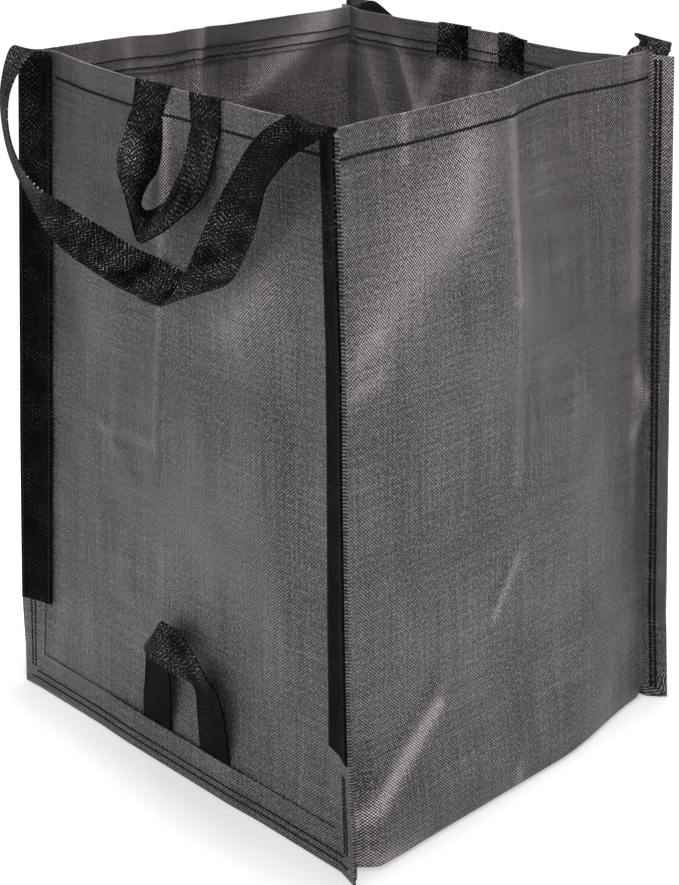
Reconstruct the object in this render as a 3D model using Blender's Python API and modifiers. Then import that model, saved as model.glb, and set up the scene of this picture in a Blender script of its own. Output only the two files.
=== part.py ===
"""A self-standing square leaf bag of coated woven cloth, with webbing handles.

One U-shaped cloth makes the front wall, the floor and the back wall. A side panel closes each
end of the U. Along their shared edges the two cloths are sewn together with the seam allowance
turned outwards, so the bag stands on a skirt of seam all round the two side panels. Webbing is
sewn over the upright seams and runs on as a carrying loop over each side panel, a smaller loop
hangs from the rim of each side, and one more loop stands at the foot of the side that is in
view, for tipping the bag out.

Metres, +Z up. The origin is on the floor under the middle of the bag. X runs across the bag
from the side panel in view to the other one, and Y from the front wall to the back wall.
"""

import math

import bmesh
import bpy
from mathutils import Vector

# Driving dimensions
BAG_WIDTH = 0.457
BAG_DEPTH = 0.457
BAG_HEIGHT = 0.686
CLOTH = 0.001
WEBBING = 0.0016
GAP = 0.0003

# The way the soft bag stands: its rim is pushed a little out of square
RIM_SKEW = 0.022
NEAR_SWAY_TOP = 0.006
NEAR_SWAY_FOOT = 0.008
WALL_BELLY = 0.008
SIDE_BELLY = 0.004
FAR_RIM_BOW = 0.012

# Seams and hems
SEAM_ALLOWANCE = 0.024
SEAM_FLARE = math.radians(16)
SKIRT_FLOAT = 0.0005
BORDER_SIDE = 0.031
BORDER_FOOT = 0.043
HEM_DEPTH = 0.036
FOLD_RADIUS = 0.015
LIFT_REACH = 0.05

# Webbing sewn over the upright seams
STRAP_WIDTH = 0.040
STRAP_FOOT = 0.108
CREST_START = 0.0035
CREST_RADIUS = 0.009
ROOT_STUB = 0.001
STRAP_CENTRES = {
    "near": (0.000, 0.008),
    "left": (-0.004, -0.005),
    "right": (0.000, 0.000),
    "back": (0.000, 0.000),
}

# Small loops over the rim
GRAB_WIDTH = 0.042
GRAB_PITCH = 0.085
GRAB_CENTRE = -0.0145
GRAB_INSIDE_LEG = 0.044
GRAB_OUTSIDE_LEG = 0.026
GRAB_BULGE = 0.020
GRAB_DROP = 0.099

# Tipping loop at the foot of one side
DUMP_WIDTH = 0.042
DUMP_PITCH = 0.086
DUMP_CENTRE = -0.014
DUMP_SEWN_END = 0.036
DUMP_BULGE = 0.026
DUMP_RISE = 0.112
POCKET_RUN = 0.045

# Carrying loops
CARRY_BULGE = 0.043
CARRY_DROP = 0.177
LOOP_ROWS = 64
SQUARE_UP_SHARE = 0.22

# Where each loop's middle line runs: along, outwards and up from its roots as shares of the
# half span, bulge and drop of the loop, then the way its width lies as a direction
CARRY_ROUTE_SHARES = (
    ((-1.000, 0.000, 0.000), (1.00, 0.00, 0.00)),
    ((-1.000, 0.140, -0.002), (1.00, 0.00, 0.00)),
    ((-0.976, 0.279, -0.023), (0.97, -0.02, 0.20)),
    ((-0.923, 0.395, -0.056), (0.85, -0.03, 0.50)),
    ((-0.832, 0.465, -0.136), (0.76, 0.00, 0.65)),
    ((-0.705, 0.442, -0.288), (0.77, 0.00, 0.64)),
    ((-0.569, 0.395, -0.497), (0.78, 0.00, 0.62)),
    ((-0.429, 0.349, -0.751), (0.76, 0.00, 0.65)),
    ((-0.324, 0.349, -0.893), (0.72, 0.10, 0.68)),
    ((-0.236, 0.302, -0.966), (0.62, 0.55, 0.45)),
    ((-0.158, 0.209, -1.000), (0.50, 0.83, -0.22)),
    ((-0.061, 0.116, -0.989), (0.22, 0.62, -0.75)),
    ((0.044, 0.140, -0.949), (0.04, 0.25, -0.97)),
    ((0.166, 0.209, -0.904), (0.06, 0.05, -1.00)),
    ((0.350, 0.349, -0.864), (0.15, 0.00, -0.98)),
    ((0.516, 0.512, -0.802), (0.35, 0.00, -0.93)),
    ((0.648, 0.674, -0.712), (0.62, -0.05, -0.78)),
    ((0.753, 0.814, -0.605), (0.75, -0.12, -0.62)),
    ((0.832, 0.907, -0.475), (0.88, -0.25, -0.36)),
    ((0.880, 0.977, -0.328), (0.92, -0.33, -0.12)),
    ((0.893, 1.000, -0.192), (0.93, -0.36, 0.00)),
    ((0.884, 0.930, -0.079), (0.94, -0.34, 0.02)),
    ((0.897, 0.767, 0.000), (0.96, -0.25, 0.10)),
    ((0.928, 0.512, 0.023), (0.98, -0.15, 0.05)),
    ((0.972, 0.279, 0.017), (0.99, -0.05, 0.00)),
    ((1.000, 0.140, 0.003), (1.00, 0.00, 0.00)),
    ((1.000, 0.000, 0.000), (1.00, 0.00, 0.00)),
)
GRAB_ROUTE_SHARES = (
    ((1.000, 0.000, 0.000), (1.00, 0.00, 0.00)),
    ((1.000, 0.050, -0.071), (1.00, 0.00, 0.00)),
    ((1.082, 0.175, -0.162), (1.00, 0.00, 0.00)),
    ((1.141, 0.350, -0.283), (1.00, 0.00, -0.05)),
    ((1.082, 0.600, -0.505), (0.97, 0.00, -0.20)),
    ((0.871, 0.850, -0.727), (0.92, 0.00, -0.36)),
    ((0.706, 1.000, -0.889), (0.96, 0.00, -0.25)),
    ((0.565, 0.850, -1.000), (0.88, -0.30, 0.30)),
    ((0.400, 0.600, -0.970), (0.78, -0.05, 0.62)),
    ((0.047, 0.550, -0.859), (0.70, 0.00, 0.70)),
    ((-0.471, 0.550, -0.646), (0.70, 0.00, 0.70)),
    ((-0.871, 0.450, -0.404), (0.87, 0.00, 0.48)),
    ((-1.012, 0.250, -0.192), (0.99, 0.00, 0.10)),
    ((-1.000, 0.050, -0.071), (1.00, 0.00, 0.00)),
    ((-1.000, 0.000, 0.000), (1.00, 0.00, 0.00)),
)
DUMP_ROUTE_SHARES = (
    ((1.000, 0.000, 0.000), (1.00, 0.00, 0.00)),
    ((1.000, 0.038, 0.080), (1.00, 0.00, 0.00)),
    ((0.977, 0.154, 0.304), (1.00, 0.00, 0.00)),
    ((0.930, 0.308, 0.536), (1.00, 0.00, 0.02)),
    ((0.837, 0.462, 0.750), (0.98, 0.00, 0.08)),
    ((0.721, 0.538, 0.902), (0.95, 0.15, 0.05)),
    ((0.558, 0.769, 1.000), (0.74, 0.50, -0.44)),
    ((0.302, 0.962, 1.000), (0.36, 0.05, -0.93)),
    ((-0.093, 1.000, 0.946), (0.42, 0.00, -0.91)),
    ((-0.558, 0.923, 0.839), (0.58, 0.00, -0.81)),
    ((-0.930, 0.731, 0.670), (0.77, 0.00, -0.62)),
    ((-1.140, 0.500, 0.455), (0.94, 0.00, -0.33)),
    ((-1.116, 0.231, 0.241), (1.00, 0.00, 0.00)),
    ((-1.000, 0.038, 0.080), (1.00, 0.00, 0.00)),
    ((-1.000, 0.000, 0.000), (1.00, 0.00, 0.00)),
)

# How finely the cloths are divided
WALL_ROWS = 7
FOLD_ROWS = 5
FLOOR_ROWS = 6
CREST_ROWS = 5
CLOTH_COLUMN_SHARES = (-0.66, -0.33, 0.0, 0.33, 0.66)

# Sizes worked out from those above
NEAR, FAR = -1, 1
HALF_DEPTH = BAG_DEPTH / 2
HALF_WIDTH = BAG_WIDTH / 2
LAYER = CLOTH + GAP
OVER_BORDER = LAYER + CLOTH / 2 + GAP + WEBBING / 2
POCKET_DEPTH = WEBBING + GAP
RIM_TOP = BAG_HEIGHT - CLOTH / 2
HEM_FOOT = BAG_HEIGHT - HEM_DEPTH
FOLD_TOP = SEAM_ALLOWANCE + FOLD_RADIUS
BORDER_EDGE = HALF_DEPTH - (BORDER_SIDE - SEAM_ALLOWANCE)
FLOOR_MIDDLE = CLOTH / 2
PLATEAU = GRAB_PITCH / 2 + GRAB_WIDTH / 2 + abs(GRAB_CENTRE) + GRAB_WIDTH / 8
HINGE_GAP = GAP / 2
HINGE_PROUD = WEBBING / 2 + HINGE_GAP

CLOTH_GREY = (0.088, 0.082, 0.088, 1.0)
BORDER_GREY = (0.070, 0.066, 0.070, 1.0)
WEBBING_BLACK = (0.010, 0.010, 0.010, 1.0)


def material(name, colour, roughness):
    made = bpy.data.materials.new(name)
    made.use_nodes = True
    shader = made.node_tree.nodes["Principled BSDF"]
    shader.inputs["Base Color"].default_value = colour
    shader.inputs["Roughness"].default_value = roughness
    shader.inputs["Metallic"].default_value = 0.0
    made.diffuse_color = colour
    return made


def clear_scene():
    for obj in list(bpy.data.objects):
        bpy.data.objects.remove(obj, do_unlink=True)


def corner(side, end, z):
    """The seam line of one corner at height z. side is NEAR or FAR, end -1 front and 1 back."""
    share = z / BAG_HEIGHT
    push = side * end * RIM_SKEW * share
    x = side * (HALF_WIDTH + push)
    y = end * (HALF_DEPTH + push)
    if side == NEAR and end < 0:
        sway = NEAR_SWAY_TOP * share - NEAR_SWAY_FOOT * (1 - share)
        x -= sway
        y += sway
    return Vector((x, y))


def side_frame(side, z):
    """Middle of a side panel at height z, the step of a full depth along it, and its outward way."""
    front = corner(side, -1, z)
    back = corner(side, 1, z)
    step = back - front
    along = step.normalized()
    outward = side * Vector((along.y, -along.x))
    return (front + back) / 2, step, outward


def flare(z):
    """How far the upright seams lean out of the side panel's plane, none of it at their foot."""
    share = (z - BORDER_FOOT) / (STRAP_FOOT - BORDER_FOOT)
    return SEAM_FLARE * min(max(share, 0.0), 1.0)


def side_bow(side, a, z):
    """How far a side panel stands out of its plane, flat along the middle where loops are sewn."""
    share = min(max((z - BORDER_FOOT) / (BAG_HEIGHT - BORDER_FOOT), 0.0), 1.0)
    reach = min(max((HALF_DEPTH - abs(a)) / (HALF_DEPTH - PLATEAU), 0.0), 1.0)
    swell = reach * reach * (3 - 2 * reach)
    rim = -FAR_RIM_BOW * share * share if side == FAR else 0.0
    return swell * (SIDE_BELLY * math.sin(math.pi * share) + rim)


def side_point(side, a, z, out=0.0):
    """A point on a side panel, a along it from its middle, and out from its middle surface."""
    middle, step, outward = side_frame(side, z)
    if abs(a) < HALF_DEPTH:
        place = middle + step * (a / BAG_DEPTH) + outward * (side_bow(side, a, z) + out)
        return Vector((place.x, place.y, z))
    end = math.copysign(1, a)
    along = step.normalized() * end
    place = middle + step * (end / 2)
    beyond = abs(a) - HALF_DEPTH
    lean = flare(z)
    if beyond < GAP:
        half = lean / 2
        place += (outward * math.cos(half) - along * math.sin(half)) * (out / math.cos(half))
    else:
        place += (along * math.cos(lean) + outward * math.sin(lean)) * beyond
        place += (outward * math.cos(lean) - along * math.sin(lean)) * out
    return Vector((place.x, place.y, z))


def frame_point(side, z_frame, a, out, z):
    """A point of a straight loop frame, taken at height z_frame of a side panel."""
    middle, step, outward = side_frame(side, z_frame)
    place = middle + step * (a / BAG_DEPTH) + outward * out
    return Vector((place.x, place.y, z))


def panel_point(side, a, out, z):
    """A point this far out from a side panel's middle surface, or from its rim if it is higher."""
    level = min(z, BAG_HEIGHT)
    return frame_point(side, level, a, out + side_bow(side, a, level), z)


def mixed(first, second, share):
    return first * (1 - share) + second * share


def sheet(name, look, rows, columns, place, thickness, kept=None, even=True):
    """A grid of rows and columns moved onto place(row, column), made a solid cloth."""
    mesh = bpy.data.meshes.new(name)
    grid = bmesh.new()
    bmesh.ops.create_grid(grid, x_segments=columns - 1, y_segments=rows - 1, size=1.0)

    def cell(value, count):
        return round((value + 1) / 2 * (count - 1))

    spots = {}
    for vertex in grid.verts:
        spots[vertex] = (cell(vertex.co.y, rows), cell(vertex.co.x, columns))
    if kept:
        dropped = []
        for face in grid.faces:
            row = min(spots[vertex][0] for vertex in face.verts)
            column = min(spots[vertex][1] for vertex in face.verts)
            if not kept(row, column):
                dropped.append(face)
        bmesh.ops.delete(grid, geom=dropped, context="FACES")
    for vertex in grid.verts:
        vertex.co = place(*spots[vertex])
    for face in list(grid.faces):
        corners = list(face.verts)
        first = (corners[0].co + corners[2].co).xy.length
        second = (corners[1].co + corners[3].co).xy.length
        cut = 0 if first > second else 1
        bmesh.utils.face_split(face, corners[cut], corners[cut + 2])
    grid.to_mesh(mesh)
    grid.free()
    made = bpy.data.objects.new(name, mesh)
    made.data.materials.append(look)
    solid = made.modifiers.new("thickness", "SOLIDIFY")
    solid.thickness = thickness
    solid.offset = 0.0
    solid.use_even_offset = even
    solid.use_rim = True
    PARTS.objects.link(made)
    return made


def spread(first, last, count):
    return [first + (last - first) * step / (count - 1) for step in range(count)]


def wall_heights():
    """The heights at which every upright cloth and strap is divided, from the border's top."""
    return [BORDER_FOOT, *spread(STRAP_FOOT, HEM_FOOT, WALL_ROWS)]


def wall_path():
    """The front half of the U cloth's section, hem first, as (a, z, layer, outer a, outer z).

    a and z lie in the side panels' plane, and the outer pair is where the seam allowance ends.
    """
    reach = HALF_DEPTH + SEAM_ALLOWANCE
    path = [(-HALF_DEPTH, HEM_FOOT, 1, -reach, HEM_FOOT)]
    path.append((-HALF_DEPTH, RIM_TOP, 1, -reach, RIM_TOP))
    path.append((-HALF_DEPTH, RIM_TOP, 0, -reach, RIM_TOP))
    for z in [*wall_heights()[::-1], FOLD_TOP]:
        path.append((-HALF_DEPTH, z, 0, -reach, z))
    middle_a = -HALF_DEPTH + FOLD_RADIUS
    for step in range(1, FOLD_ROWS):
        angle = math.pi / 2 * step / FOLD_ROWS
        across, down = math.cos(angle), math.sin(angle)
        reach_out = (FOLD_RADIUS + SEAM_ALLOWANCE) / max(across, down)
        outer_z = FOLD_TOP - reach_out * down + SKIRT_FLOAT * down
        path.append(
            (
                middle_a - FOLD_RADIUS * across,
                FOLD_TOP - FOLD_RADIUS * down,
                0,
                middle_a - reach_out * across,
                outer_z,
            )
        )
    for a in spread(middle_a, 0.0, FLOOR_ROWS // 2 + 1):
        path.append((a, SEAM_ALLOWANCE, 0, a, SKIRT_FLOAT))
    return path


def u_panel(look):
    """Front wall, floor and back wall in one cloth, hemmed at both ends, edges turned outwards."""
    front = wall_path()
    back = [(-a, z, layer, -outer_a, outer_z) for a, z, layer, outer_a, outer_z in front[-2::-1]]
    path = front + back
    near_dips = (LIFT_REACH / 6, LIFT_REACH / 2.5, LIFT_REACH)
    shares = [-1 + 2 * dip / BAG_WIDTH for dip in near_dips]
    middle = [share for share in CLOTH_COLUMN_SHARES]
    across = [-1.0, *shares, *middle, *(-share for share in reversed(shares)), 1.0]
    wall_end = HALF_DEPTH - CLOTH

    def place(row, column):
        a, z, layer, outer_a, outer_z = path[row]
        if column == 0:
            return side_point(NEAR, outer_a, outer_z, -LAYER)
        if column == len(across) + 1:
            return side_point(FAR, outer_a, outer_z, -LAYER)
        share = across[column - 1]
        wall = abs(a) > wall_end
        rise = min(max((z - FOLD_TOP) / (BAG_HEIGHT - FOLD_TOP), 0.0), 1.0)
        to_seam = (1 - abs(share)) * HALF_WIDTH
        dip = 1 - max(1 - to_seam / LIFT_REACH, 0.0) ** 2
        low = z - (SEAM_ALLOWANCE - FLOOR_MIDDLE) * dip * (1 - rise)
        near = side_point(NEAR, a, low, -LAYER)
        far = side_point(FAR, a, low, -LAYER)
        spot = mixed(near, far, (share + 1) / 2)
        if wall:
            run = (far - near).normalized()
            outward = Vector((run.y, -run.x, 0.0)) * -math.copysign(1, a)
            belly = WALL_BELLY * math.sin(math.pi * rise) * (1 - share * share)
            spot += outward * (belly - layer * LAYER)
        return spot

    rows = len(path)

    def kept(row, column):
        hem = row < 2 or row >= rows - 3
        flange = column == 0 or column == len(across)
        return not (hem and flange)

    return sheet("u_panel", look, rows, len(across) + 2, place, CLOTH, kept)


def side_panel(name, side, look):
    """One end wall with its rim turned in as a hem, and its edges run out into the seams."""
    thirds = spread(PLATEAU, BORDER_EDGE, 4)
    half = [0.0, PLATEAU / 2, *thirds, HALF_DEPTH, HALF_DEPTH + SEAM_ALLOWANCE]
    columns = [-a for a in half[:0:-1]] + half
    rows = [(z, 0) for z in (SKIRT_FLOAT, FOLD_TOP, *wall_heights(), RIM_TOP)]
    rows += [(RIM_TOP, 1), (HEM_FOOT, 1)]

    def place(row, column):
        z, layer = rows[row]
        return side_point(side, columns[column], z, -layer * LAYER)

    def kept(row, column):
        hem = row >= len(rows) - 3
        return not hem or 2 <= column < len(columns) - 3

    return sheet(name, look, len(rows), len(columns), place, CLOTH, kept)


def seam_border(name, side, look, pocket):
    """The side panel's seam allowance folded back on its outer face, mitred at the foot."""
    outer = HALF_DEPTH + SEAM_ALLOWANCE
    pocket_edge = DUMP_PITCH / 2 + DUMP_WIDTH / 2 + abs(DUMP_CENTRE) + GAP
    free_edge = pocket_edge + POCKET_RUN
    columns = [-outer, -HALF_DEPTH, -BORDER_EDGE, -free_edge, -pocket_edge, 0.0]
    columns = columns + [-a for a in columns[-2::-1]]
    rows = [SKIRT_FLOAT, BORDER_FOOT / 2, *wall_heights(), RIM_TOP]

    def place(row, column):
        a = columns[column]
        reach = min(max((free_edge - abs(a)) / POCKET_RUN, 0.0), 1.0)
        stand_off = POCKET_DEPTH * reach if pocket and row < 3 else 0.0
        return side_point(side, a, rows[row], LAYER + stand_off)

    def kept(row, column):
        return row < 2 or column < 2 or column >= len(columns) - 3

    return sheet(name, look, len(rows), len(columns), place, CLOTH, kept)


def hinge_line(side, corner_height):
    """Where a carrying loop starts: out from the side panel, and up, at the crest's end."""
    out = OVER_BORDER + CREST_RADIUS + ROOT_STUB
    return out, corner_height - CREST_START + CREST_RADIUS


def corner_strap(name, side, end, centres, look):
    """Webbing over one upright seam, with its top bent outwards to meet the carrying loop."""
    top_centre, foot_centre = centres
    half = STRAP_WIDTH / 2
    crest_z = BAG_HEIGHT - CREST_START
    heights = [*wall_heights()[1:], crest_z]
    upright = len(heights)
    rows = upright + CREST_ROWS + 1

    def edge(row, column):
        share = min(row / (upright - 1), 1.0)
        centre = foot_centre + (top_centre - foot_centre) * share
        return -centre + (-half, 0.0, half)[column]

    def place(row, column):
        beyond = edge(row, column)
        if column == 1 and row < upright:
            beyond = 0.0
        a = end * (HALF_DEPTH + beyond)
        if row < upright:
            return side_point(side, a, heights[row], OVER_BORDER)
        angle = math.pi / 2 * min((row - upright + 1) / CREST_ROWS, 1.0)
        out = OVER_BORDER + CREST_RADIUS * (1 - math.cos(angle))
        if row == rows - 1:
            out += ROOT_STUB
        z = crest_z + CREST_RADIUS * math.sin(angle)
        bent = side_point(side, a, BAG_HEIGHT, OVER_BORDER)
        straight = frame_point(side, BAG_HEIGHT, a, OVER_BORDER, z)
        blend = 1 - math.cos(angle)
        spot = mixed(bent, straight, blend)
        middle, step, outward = side_frame(side, BAG_HEIGHT)
        shift = outward * (out - OVER_BORDER)
        if angle == math.pi / 2:
            spot = straight
        return Vector((spot.x + shift.x, spot.y + shift.y, z))

    return sheet(name, look, rows, 3, place, WEBBING)


def saddle(name, side, centre, look):
    """One leg of a small loop where it is sewn down over the rim."""
    inside = -(LAYER + CLOTH / 2 + GAP + WEBBING / 2)
    outside = CLOTH / 2 + GAP + WEBBING / 2
    top = BAG_HEIGHT + GAP + WEBBING / 2
    path = [
        (BAG_HEIGHT - GRAB_INSIDE_LEG, inside),
        (BAG_HEIGHT - GRAB_OUTSIDE_LEG, inside),
        (top, inside),
        (top, outside),
        (BAG_HEIGHT - GRAB_OUTSIDE_LEG, outside),
    ]

    def place(row, column):
        z, out = path[row]
        a = centre + GRAB_WIDTH / 2 * (column - 1)
        return side_point(side, a, z, out)

    return sheet(name, look, len(path), 3, place, WEBBING)


def sewn_end(name, side, centre, look):
    """An end of the tipping loop, held between the side panel and the seam border."""
    out = CLOTH / 2 + GAP + WEBBING / 2
    heights = (BORDER_FOOT - DUMP_SEWN_END, BORDER_FOOT)

    def place(row, column):
        a = centre + DUMP_WIDTH / 2 * (column - 1)
        return side_point(side, a, heights[row], out)

    return sheet(name, look, 2, 3, place, WEBBING)


def smooth(points, share):
    """A point at this share of the way along a smooth curve through the points."""
    spot = share * (len(points) - 1)
    index = min(int(spot), len(points) - 2)
    t = spot - index
    before = points[max(index - 1, 0)]
    first, second = points[index], points[index + 1]
    after = points[min(index + 2, len(points) - 1)]
    return 0.5 * (
        2 * first
        + (second - before) * t
        + (2 * before - 5 * first + 4 * second - after) * t * t
        + (3 * first - before - 3 * second + after) * t * t * t
    )


def loop(name, side, route, span, bulge, drop, root, leave, width, look, turn=1):
    """A free webbing loop between its two roots. root is its middle along, out and height.

    leave is the way out and up in which both ends leave their roots, square to the webbing that
    they carry on from. turn is 1, or -1 where the loop hangs the other way round.
    """
    centre, root_out, root_z, frame_z = root
    leave_out, leave_up = leave
    spots = []
    ways = []
    middle, step, outward = side_frame(side, frame_z)
    along = step.normalized()
    for (a_share, out_share, up_share), (w_along, w_out, w_up) in route:
        a = centre + turn * a_share * span
        out = root_out + out_share * bulge + leave_out * ROOT_STUB
        z = root_z + up_share * drop + leave_up * ROOT_STUB
        spots.append(panel_point(side, a, out, z))
        flat = along * (turn * w_along) + outward * w_out
        ways.append(Vector((flat.x, flat.y, w_up)))

    stub = Vector((outward.x * leave_out, outward.y * leave_out, leave_up)) * ROOT_STUB
    level = Vector((along.x, along.y, 0.0)) * turn

    def place(row, column):
        if row in (0, LOOP_ROWS + 1):
            return spots[0 if row == 0 else -1] - stub + level * (width / 2 * (column - 1))
        share = (row - 1) / (LOOP_ROWS - 1)
        spot = smooth(spots, share)
        if row in (1, LOOP_ROWS):
            return spot + level * (width / 2 * (column - 1))
        tick = 1 / (LOOP_ROWS - 1) / 2
        ahead = smooth(spots, min(share + tick, 1.0))
        behind = smooth(spots, max(share - tick, 0.0))
        run = (ahead - behind).normalized()
        way = smooth(ways, share)
        ease = min(min(share, 1 - share) / SQUARE_UP_SHARE, 1.0)
        way = (way - run * way.dot(run) * ease * ease).normalized()
        return spot + way * (width / 2 * (column - 1))

    return sheet(name, look, LOOP_ROWS + 2, 3, place, WEBBING, even=False)


def put_origin(obj, axis_point):
    """Moves an object's origin to a point of its joint's axis, with its shape left in place."""
    for vertex in obj.data.vertices:
        vertex.co -= axis_point
    obj.location = axis_point


def carry_loop(name, side, look):
    out, z = hinge_line(side, BAG_HEIGHT)
    root = (0.0, out + HINGE_GAP * 2, z, BAG_HEIGHT)
    sizes = (HALF_DEPTH, CARRY_BULGE, CARRY_DROP)
    turn = -side  # The two carrying loops hang as one turned half way round the bag
    made = loop(name, side, CARRY_ROUTE_SHARES, *sizes, root, (1, 0), STRAP_WIDTH, look, turn)
    axis = frame_point(side, BAG_HEIGHT, 0.0, out + HINGE_GAP, z + HINGE_PROUD)
    put_origin(made, axis)
    return made


def grab_loop(name, side, look):
    frame_z = BAG_HEIGHT - GRAB_OUTSIDE_LEG
    out = CLOTH / 2 + GAP + WEBBING / 2
    root = (GRAB_CENTRE, out, frame_z - HINGE_GAP * 2, frame_z)
    sizes = (GRAB_PITCH / 2, GRAB_BULGE, GRAB_DROP)
    made = loop(name, side, GRAB_ROUTE_SHARES, *sizes, root, (0, -1), GRAB_WIDTH, look)
    axis = panel_point(side, 0.0, out + HINGE_PROUD, frame_z - HINGE_GAP)
    put_origin(made, axis)
    return made


def dump_loop(name, side, look):
    out = CLOTH / 2 + GAP + WEBBING / 2
    root = (DUMP_CENTRE, out, BORDER_FOOT + HINGE_GAP * 2, BORDER_FOOT)
    sizes = (DUMP_PITCH / 2, DUMP_BULGE, DUMP_RISE)
    made = loop(name, side, DUMP_ROUTE_SHARES, *sizes, root, (0, 1), DUMP_WIDTH, look)
    axis = panel_point(side, 0.0, out + HINGE_PROUD, BORDER_FOOT + HINGE_GAP)
    put_origin(made, axis)
    return made


def main():
    cloth = material("woven_cloth", CLOTH_GREY, 0.45)
    border = material("seam_border", BORDER_GREY, 0.5)
    webbing = material("webbing", WEBBING_BLACK, 0.5)
    u_panel(cloth)
    side_panel("side_panel_near", NEAR, cloth)
    side_panel("side_panel_far", FAR, cloth)
    seam_border("seam_border_near", NEAR, border, pocket=True)
    seam_border("seam_border_far", FAR, border, pocket=False)
    for name, side, end in (
        ("near", NEAR, -1),
        ("left", NEAR, 1),
        ("right", FAR, -1),
        ("back", FAR, 1),
    ):
        corner_strap("corner_strap_" + name, side, end, STRAP_CENTRES[name], webbing)
    for name, side in (("near", NEAR), ("far", FAR)):
        carry_loop("carry_loop_" + name, side, webbing)
        for leg, way in (("front", -1), ("back", 1)):
            centre = GRAB_CENTRE + way * GRAB_PITCH / 2
            saddle(f"grab_loop_tab_{name}_{leg}", side, centre, webbing)
        grab_loop("grab_loop_" + name, side, webbing)
    for leg, way in (("front", -1), ("back", 1)):
        sewn_end("dump_loop_end_" + leg, NEAR, DUMP_CENTRE + way * DUMP_PITCH / 2, webbing)
    dump_loop("dump_loop", NEAR, webbing)


clear_scene()
PARTS = bpy.data.collections.new("leaf_bag")
bpy.context.scene.collection.children.link(PARTS)
main()
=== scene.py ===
import math

import bmesh
import bpy
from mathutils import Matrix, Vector, noise


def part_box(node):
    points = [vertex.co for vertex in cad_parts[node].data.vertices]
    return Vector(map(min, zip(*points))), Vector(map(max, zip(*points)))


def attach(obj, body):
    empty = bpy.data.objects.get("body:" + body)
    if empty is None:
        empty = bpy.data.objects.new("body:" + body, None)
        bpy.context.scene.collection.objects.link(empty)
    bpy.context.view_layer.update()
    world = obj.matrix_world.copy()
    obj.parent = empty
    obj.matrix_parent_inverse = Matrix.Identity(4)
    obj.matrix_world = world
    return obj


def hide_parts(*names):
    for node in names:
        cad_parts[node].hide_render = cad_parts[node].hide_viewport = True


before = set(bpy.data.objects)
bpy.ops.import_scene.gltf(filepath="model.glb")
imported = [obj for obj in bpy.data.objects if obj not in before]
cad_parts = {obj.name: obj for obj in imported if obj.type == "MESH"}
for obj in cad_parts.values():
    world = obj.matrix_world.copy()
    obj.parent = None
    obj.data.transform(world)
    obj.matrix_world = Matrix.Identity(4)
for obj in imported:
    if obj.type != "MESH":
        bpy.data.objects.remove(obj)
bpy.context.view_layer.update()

NEAR, FAR = -1, 1
SIDE_NAMES = {NEAR: "near", FAR: "far"}
MM = 0.001

# Sizes in metres, the same as the CAD's
BAG_WIDTH = 0.457
BAG_DEPTH = 0.457
BAG_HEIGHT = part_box("u_panel")[1][2]
CLOTH = 0.001
WEBBING = 0.0016
GAP = 0.0003
RIM_SKEW = 0.022
NEAR_SWAY_TOP = 0.006
NEAR_SWAY_FOOT = 0.008
WALL_BELLY = 0.008
SIDE_BELLY = 0.004
FAR_RIM_BOW = 0.012
SEAM_ALLOWANCE = 0.024
SKIRT_FLOAT = 0.0005
BORDER_SIDE = 0.031
BORDER_FOOT = 0.043
HEM_DEPTH = 0.036
STRAP_WIDTH = 0.040
STRAP_FOOT = 0.108
CREST_RADIUS = 0.009
ROOT_STUB = 0.001
GRAB_WIDTH = 0.042
GRAB_PITCH = 0.085
GRAB_CENTRE = -0.0145
GRAB_OUTSIDE_LEG = 0.026
DUMP_WIDTH = 0.042
DUMP_PITCH = 0.086
DUMP_CENTRE = -0.014
DUMP_SEWN_END = 0.036
POCKET_RUN = 0.045

# Softer forms that only the visual model has: the hollow beside the straps, and the foot's fold and bulge
EDGE_RECESS = 0.0050
EDGE_REACH = 0.024
EDGE_FADE = 0.080
FOLD_RADIUS = 0.005
FOOT_BULGE = 0.021
LIFT_REACH = 0.014
RIM_REACH = 0.16
SEAM_HOLD = 0.82

HALF_DEPTH = BAG_DEPTH / 2
HALF_WIDTH = BAG_WIDTH / 2
OUTER = HALF_DEPTH + SEAM_ALLOWANCE
LAYER = CLOTH + GAP
OVER_BORDER = LAYER + CLOTH / 2 + GAP + WEBBING / 2
ON_CLOTH = CLOTH / 2 + GAP + WEBBING / 2
POCKET_DEPTH = WEBBING + GAP
POCKET_EDGE = DUMP_PITCH / 2 + DUMP_WIDTH / 2 + abs(DUMP_CENTRE) + GAP
RIM_TOP = BAG_HEIGHT - CLOTH / 2
HEM_FOOT = BAG_HEIGHT - HEM_DEPTH
FOLD_TOP = SEAM_ALLOWANCE + FOLD_RADIUS
BORDER_EDGE = HALF_DEPTH - (BORDER_SIDE - SEAM_ALLOWANCE)
PLATEAU = GRAB_PITCH / 2 + GRAB_WIDTH / 2 + abs(GRAB_CENTRE) + GRAB_WIDTH / 8

# Each wall's own unevenness: height in metres, seed and size of its features
SIDE_WAVES = ((0.0022, 3.1, 0.11), (0.0010, 8.4, 0.045))
FRONT_WAVES = ((0.0030, 1.7, 0.13), (0.0012, 5.2, 0.05))
BACK_WAVES = ((0.0030, 11.7, 0.12), (0.0012, 15.2, 0.05))

# Rows of stitching: depth below the rim, distance from an edge, pitch, and radius of the thread
HEM_STITCH = 0.0243
BACK_HEM_STITCHES = (0.0210, 0.0310)
BORDER_ROWS = (0.0105, 0.0190)
FIN_ROWS = (0.0120, 0.0168)
STRAP_STITCH = 0.003
HEM_PITCH = 0.0046
SEAM_PITCH = 0.0042
HEM_THREAD = 0.00145
SEAM_THREAD = 0.00105
FIN_THREAD = 0.00175
STITCH_SHARE = 0.86
STITCH_SIDES = 6
# Rings of one stitch: share of its length, and size
STITCH_RINGS = ((0.0, 0.45), (0.14, 0.9), (0.5, 1.1), (0.86, 0.9), (1.0, 0.45))

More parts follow.
